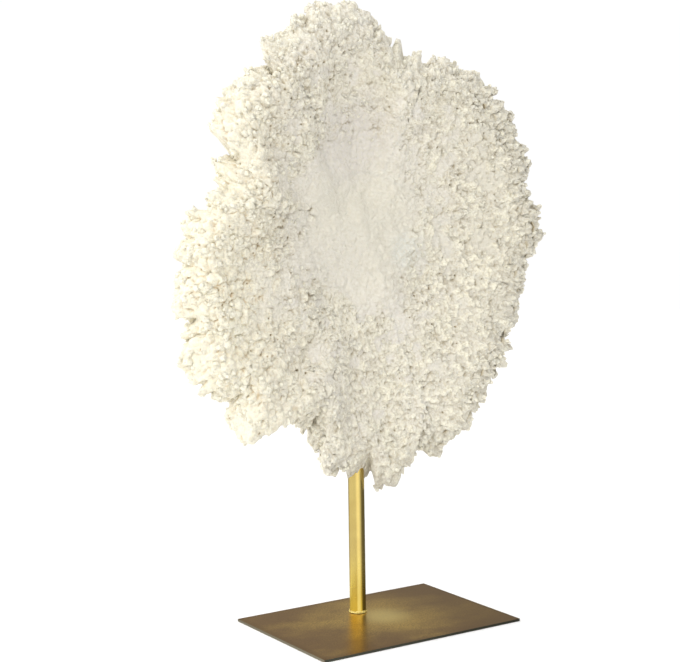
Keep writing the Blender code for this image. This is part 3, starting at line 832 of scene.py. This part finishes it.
def make_coral(material):
    """Every lobe and the heart, each in place of its node."""
    dice = np.random.default_rng(7)
    spots = [front_spots(KNOB_SPACING, dice), rim_spots(KNOB_SPACING, 1.02, 2.0, dice),
             rim_spots(KNOB_SPACING_BACK, 2.05, 2.9, dice)]
    angle, way = (np.concatenate(values) for values in zip(*spots))
    for name, first, last in LOBES:
        inside = ((angle - first) % 360.0 < last - first) & (way > 0.0)
        parts = [lobe_skin(first, last), *grow_knobs(angle[inside], way[inside], dice)]
        add_coral(name, parts, material)
    inside = way <= 0.0
    add_coral("heart", [heart_skin(), *grow_knobs(angle[inside], way[inside], dice)], material)


def add_coral(name, parts, material):
    """One piece of the coral, in place of its node."""
    add_piece("coral_" + name + "_growth", parts, material, "coral_" + name, 48.0)


def add_piece(name, parts, material, node, crease=40.0):
    """A finished piece in place of a node of the frame."""
    piece = make_piece(name, parts, material, crease)
    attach(piece, "root")
    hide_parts(node)


class Socket:
    """A shader socket that takes part in Python sums: +, - and * add Math nodes."""

    def __init__(self, tree, output):
        self.tree, self.output = tree, output

    def maths(self, kind, first, second=None):
        """One Math node."""
        return self.tree.node("ShaderNodeMath", {"operation": kind}, [first, second])

    def __add__(self, other):
        return self.maths("ADD", self, other)

    __radd__ = __add__

    def __sub__(self, other):
        return self.maths("SUBTRACT", self, other)

    def __rsub__(self, other):
        return self.maths("SUBTRACT", other, self)

    def __mul__(self, other):
        return self.maths("MULTIPLY", self, other)

    __rmul__ = __mul__


class Shading:
    """A node tree, with the calls that the finishes and the studio need."""

    def __init__(self, tree):
        self.nodes, self.links = tree.nodes, tree.links

    def node(self, kind, settings, values, out=0):
        """Add a node: its settings first, then the values or links of its inputs, by order or by name."""
        made = self.nodes.new(kind)
        for key, value in settings.items():
            setattr(made, key, value)
        pairs = values.items() if isinstance(values, dict) else enumerate(values)
        for key, value in pairs:
            if isinstance(value, Socket):
                self.links.new(value.output, made.inputs[key])
            elif value is not None:
                made.inputs[key].default_value = value
        return Socket(self, made.outputs[out])

    def position(self):
        """Place on the object in metres."""
        return self.node("ShaderNodeTexCoord", {}, [], "Object")

    def attribute(self, name):
        """The piece's own number of that name."""
        return self.node("ShaderNodeAttribute", {"attribute_name": name}, [], "Fac")

    def noise(self, scale, detail=3.0, roughness=0.5, where=None):
        """Soft noise from 0 to 1 with scale spots to a metre."""
        where = where or self.position()
        inputs = {"Vector": where, "Scale": scale, "Detail": detail, "Roughness": roughness}
        return self.node("ShaderNodeTexNoise", {}, inputs, "Fac")

    def grains(self, scale):
        """Distance to the nearest of strewn seeds, scale of them to a metre, which makes blocky grains."""
        inputs = {"Vector": self.position(), "Scale": scale, "Exponent": 4.0}
        return self.node("ShaderNodeTexVoronoi", {"distance": "MINKOWSKI"}, inputs, "Distance")

    def mix(self, factor, first, second):
        """Blend two colours by a factor."""
        first, second = ((*c, 1.0) if isinstance(c, tuple) else c for c in (first, second))
        return self.node("ShaderNodeMix", {"data_type": "RGBA"}, {0: factor, 6: first, 7: second}, 2)

    def ease(self, value, low, high):
        """Map low..high to 0..1 with level ends."""
        settings = {"interpolation_type": "SMOOTHSTEP"}
        return self.node("ShaderNodeMapRange", settings, [value, low, high, 0.0, 1.0])

    def vector(self, kind, first, second, out="Value"):
        """One Vector Math node."""
        return self.node("ShaderNodeVectorMath", {"operation": kind}, [first, second], out)

    def along(self, where, direction, low, high):
        """Map how far a vector goes in a direction, low..high, to 0..1 with level ends."""
        return self.ease(self.vector("DOT_PRODUCT", where, direction), low, high)


class Finish(Shading):
    """A material round one Principled shader."""

    def __init__(self, name):
        self.material = bpy.data.materials.new(name)
        self.material.use_nodes = True
        super().__init__(self.material.node_tree)
        self.shader = self.nodes["Principled BSDF"]

    def patch(self, x, z, radius):
        """A round patch of the front that fades outwards, from 1 to 0."""
        flat = self.vector("MULTIPLY", self.position(), (1.0, 0.0, 1.0), "Vector")
        return 1.0 - self.ease(self.vector("DISTANCE", flat, (x, 0.0, z)), 0.3 * radius, radius)

    def bump(self, height, strength, distance):
        """Normals of a height in metres times distance."""
        return self.node("ShaderNodeBump", {}, {"Height": height, "Strength": strength, "Distance": distance})

    def wire(self, **inputs):
        """Set the shader's own sockets, by name with _ for a space."""
        for key, value in inputs.items():
            socket = self.shader.inputs[key.replace("_", " ")]
            if isinstance(value, Socket):
                self.links.new(value.output, socket)
            else:
                size = len(socket.default_value) if isinstance(value, tuple) else 0
                socket.default_value = (*value, 1.0) if size == 4 else value


def coral_finish():
    """Matt white with painted light and shade: tan shade in the pits and cream on the crumbs' open tops,
    partly painted light; lighter and yellower at the left, where the light falls, and greyer at the right,
    in shade.
    """
    look = Finish("coral_skeleton")
    openness, crumbly = look.attribute("openness"), look.attribute("crumbly")
    where = look.position()
    drift = look.ease(look.noise(34.0, 3.0), 0.35, 0.68)
    plain = look.mix(look.ease(crumbly, 0.2, 0.7), (0.80, 0.76, 0.685), (0.83, 0.79, 0.665))
    plain = look.mix(drift * 0.6, plain, (0.815, 0.775, 0.70))
    # Greyer patches, partly painted shade in the front's valleys
    for x, z, radius, strength, tone in TONES_AND_SHADE:
        plain = look.mix(look.patch(x, z, radius) * strength, plain, tone)
    # Painted light: lighter and yellower towards the left, where the light falls
    painted_left_light = look.along(where, (-1.0, 0.0, -0.1), 0.015, 0.115)
    plain = look.mix(painted_left_light * (0.8 + 0.2 * look.ease(crumbly, 0.2, 0.8)), plain, (0.95, 0.895, 0.72))
    # Painted shade: greyer towards the right, which the light leaves
    plain = look.mix(look.along(where, (1.0, 0.0, -0.1), 0.0, 0.09), plain, (0.715, 0.68, 0.58))
    speck = look.ease(look.noise(480.0, 3.0, 0.65), 0.40, 0.66)
    plain = look.mix(speck * 0.7, plain, (0.715, 0.67, 0.56))
    # Cream on the open tops, partly the crumbs' own tone and partly painted light
    high = look.mix(look.ease(openness, 0.45, 0.90) * 0.75, plain, (0.975, 0.93, 0.76))
    # Painted shade: tan in the crevices, lighter at the left where the light falls
    crevice_shade = look.mix(painted_left_light, (0.56, 0.49, 0.355), (0.76, 0.62, 0.41))
    colour = look.mix(look.ease(openness, 0.02, 0.38), crevice_shade, high)
    # Painted shadow: dark brown where the openness is least, in the deepest pits
    colour = look.mix(look.ease(openness, 0.0, 0.08), (0.33, 0.27, 0.17), colour)
    grainy = (0.15 + 0.85 * look.ease(crumbly, 0.15, 0.65)) * (1.0 - 0.6 * painted_left_light)
    grain = look.grains(560.0)
    # Painted shade: the crevice tone in the gaps between fine grains
    colour = look.mix(look.ease(grain, 0.42, 0.72) * grainy * 0.5, colour, crevice_shade)
    height = look.noise(560.0, 4.0, 0.7) - 0.6 * grainy * grain
    look.wire(Base_Color=colour, Roughness=0.82, Normal=look.bump(height, 0.9, 0.0016),
              Subsurface_Weight=0.3, Subsurface_Radius=(1.0, 0.95, 0.85), Subsurface_Scale=0.003)
    return look.material


def brass_finish():
    """Satin brass with fine scratches and a little tarnish.

    Painted light: golden and partly matt at the foot, with a painted highlight stripe there, and a dark
    reflection painted brown at one side.
    """
    look = Finish("satin_brass")
    where = look.position()
    lines = look.node("ShaderNodeMapping", {}, {"Vector": where, "Scale": (1.0, 1.0, 14.0)})
    scratch = look.noise(160.0, 3.0, 0.6, lines)
    tarnish = look.ease(look.noise(60.0, 4.0), 0.35, 0.75)
    # Painted light: near the foot the brass is deeper gold and partly matt, in place of a bright reflection
    low = 1.0 - look.along(where, (0.0, 0.0, 1.0), 0.004, 0.060)
    colour = look.mix(tarnish, (0.92, 0.71, 0.24), (0.87, 0.65, 0.21))
    colour = look.mix(low, colour, (0.98, 0.73, 0.11))
    across = look.vector("DOT_PRODUCT", where, DARK_REFLECTION_SIDE) - (DARK_REFLECTION_SIDE[0] * ROD_X + DARK_REFLECTION_SIDE[1] * ROD_Y)
    # Painted highlight: a pale stripe near the foot, fixed on the rod
    bright = look.ease(across, -0.0010, 0.0004) * (1.0 - look.ease(across, 0.0016, 0.0030))
    colour = look.mix(bright * low * 0.8, colour, (1.0, 0.82, 0.26))
    # Painted dark reflection: a brown band down one side, darkest near the foot
    colour = look.mix(look.ease(across, 0.0026, 0.0042) * (0.40 + 0.55 * low), colour, (0.17, 0.11, 0.015))
    look.wire(Base_Color=colour, Metallic=1.0 - low * (0.36 + 0.40 * bright), Roughness=0.20 + 0.10 * scratch)
    return look.material


def solder_finish():
    """The bead's metal, brighter than the rod and rippled."""
    look = Finish("bright_solder")
    ripple = look.noise(700.0, 3.0)
    look.wire(Base_Color=(1.0, 0.80, 0.26), Metallic=0.3, Roughness=0.22,
              Normal=look.bump(ripple, 1.0, 0.0012))
    return look.material


def bronze_finish():
    """Antique bronze: brown patina rubbed to gold in clouds, darker along the edges and towards the right,
    with fine specks.

    A pale gold patch in front of the rod is its painted reflection. The short ends are pale and the long
    sides are dark.
    """
    look = Finish("antique_bronze")
    where = look.position()
    stretched = look.node("ShaderNodeMapping", {}, {"Vector": where, "Scale": (0.55, 1.0, 1.0)})
    cloud = look.noise(30.0, 5.0, 0.6, stretched)
    fine = look.noise(900.0, 2.0, 0.6)
    away = look.vector("DISTANCE", where, (0.008, 0.004, 0.002))
    gold = look.ease(cloud + 0.34 * (1.0 - look.ease(away, 0.01, 0.085)), 0.40, 0.90)
    colour = look.mix(gold, (0.295, 0.185, 0.088), (0.70, 0.50, 0.16))
    x, y = (look.vector("DOT_PRODUCT", where, axis) for axis in ((1.0, 0.0, 0.0), (0.0, 1.0, 0.0)))
    across, along = (value.maths("ABSOLUTE", value) for value in (x, y))
    border = look.ease(across, PLATE_HIGH.x - 0.008, PLATE_HIGH.x)
    border = border + look.ease(along, PLATE_HIGH.y - 0.007, PLATE_HIGH.y)
    colour = look.mix(border * 0.45, colour, (0.16, 0.095, 0.05))
    colour = look.mix(look.ease(fine, 0.38, 0.66) * 0.55, colour, (0.16, 0.105, 0.055))
    # Painted reflection: pale gold in front of the rod, where the plate mirrors it
    colour = look.mix(0.75 - 0.75 * look.ease(away, 0.004, 0.030), colour, (0.95, 0.79, 0.32))
    # Darker towards the right
    colour = look.mix(look.ease(x, 0.0, 0.08) * 0.6, colour, (0.20, 0.135, 0.075))
    end = look.ease(across, PLATE_HIGH.x - 0.0002, PLATE_HIGH.x - 0.0001)
    side = look.ease(along, PLATE_HIGH.y - 0.0002, PLATE_HIGH.y - 0.0001)
    colour = look.mix(end, look.mix(side, colour, (0.11, 0.11, 0.085)), (0.36, 0.33, 0.24))
    look.wire(Base_Color=colour, Metallic=1.0, Roughness=0.24 + 0.12 * cloud, Specular_Tint=(1.0, 0.87, 0.72))
    return look.material


def level_direction(degrees_right, rise=0.0):
    """A direction seen from the object: so far right of the camera, and so far above the horizon."""
    turn, lift = math.radians(CAMERA_TURN + degrees_right), math.radians(rise)
    return (math.sin(turn) * math.cos(lift), -math.cos(turn) * math.cos(lift), math.sin(lift))


def make_camera():
    """The photograph's camera: a place, and a turn, pitch and roll."""
    back = Vector(level_direction(0.0, CAMERA_PITCH))
    right = (-back).cross(Vector((0, 0, 1))).normalized()
    axes = Matrix((right, back.cross(right), back)).transposed().to_4x4()
    roll = Matrix.Rotation(math.radians(CAMERA_ROLL), 4, "Z")
    data = bpy.data.cameras.new("camera")
    data.lens, data.sensor_width = CAMERA_LENS, CAMERA_SENSOR
    camera = new_object("camera", data)
    camera.matrix_world = Matrix.Translation(CAMERA_SPOT) @ axes @ roll
    bpy.context.scene.camera = camera


def make_world():
    """A white surround, brighter at the left. Metal mirrors it dark at the right, with a bright panel."""
    world = bpy.data.worlds.new("studio")
    world.use_nodes = True
    bpy.context.scene.world = world
    sky = Shading(world.node_tree)
    where = sky.node("ShaderNodeTexCoord", {}, [], "Generated")
    towards = [(level_direction(115.0), 0.35, 0.90), (level_direction(20.0), 0.82, 1.0),
               (level_direction(180.0), 0.80, 0.98), (level_direction(-140.0), 0.80, 0.97),
               (level_direction(-84.0, 12.0), 0.05, 1.0), (level_direction(120.0), 0.0, 1.0),
               ((0.0, 0.0, 1.0), 0.2, 0.9)]
    right, panel, behind, edge, left, aside, top = (
        sky.along(where, direction, low, high) for direction, low, high in towards)
    mirrored = 0.72 - 0.55 * right + 0.45 * panel - 0.28 * behind - 0.30 * edge
    spread = 0.872 + 0.87 * left - 0.37 * aside + 0.04 * top
    rays = sky.node("ShaderNodeLightPath", {}, [], "Is Glossy Ray")
    light = spread * (1.0 - rays) + mirrored * rays
    seen = sky.node("ShaderNodeLightPath", {}, [], "Is Camera Ray")
    strength = light * (1.0 - seen) + seen * 1.02
    background = sky.nodes["Background"]
    background.inputs["Color"].default_value = (1.0, 1.0, 1.0, 1.0)
    sky.links.new(strength.output, background.inputs["Strength"])


def add_sun(name, direction, strength, softness):
    """A far light of a given softness in degrees."""
    data = bpy.data.lights.new(name, "SUN")
    data.energy, data.angle = strength, math.radians(softness)
    light = new_object(name, data)
    light.visible_glossy = False
    light.rotation_mode = "QUATERNION"
    light.rotation_quaternion = Vector(direction).to_track_quat("Z", "Y")


def make_floor():
    """A round white floor that throws no shadow and isn't mirrored."""
    turns = [math.radians(degrees) for degrees in range(0, 360, 3)]
    rim = [(FLOOR_RADIUS * math.cos(turn), FLOOR_RADIUS * math.sin(turn), 0.0) for turn in turns]
    mesh = bpy.data.meshes.new("floor")
    mesh.from_pydata(rim, [], [tuple(range(len(rim)))])
    look = Finish("white_floor")
    look.wire(Base_Color=(0.95, 0.95, 0.95), Roughness=0.9)
    mesh.materials.append(look.material)
    floor = new_object("floor", mesh)
    floor.visible_glossy = False
    floor.visible_shadow = False


def make_studio():
    """A white floor under a soft light from the front left, one from above and a weak one off the floor."""
    make_world()
    add_sun("key", level_direction(-14.0, 32.0), 0.8, 28.0)
    add_sun("top", (-0.25, -0.1, 1.0), 0.35, 70.0)
    add_sun("floor_glow", (0.15, -0.25, -0.95), 0.35, 60.0)
    make_floor()
    bpy.context.scene.view_settings.view_transform = "Standard"


make_camera()
make_studio()
make_coral(coral_finish())
make_rod(brass_finish())
make_bead(solder_finish())
make_plate(bronze_finish())
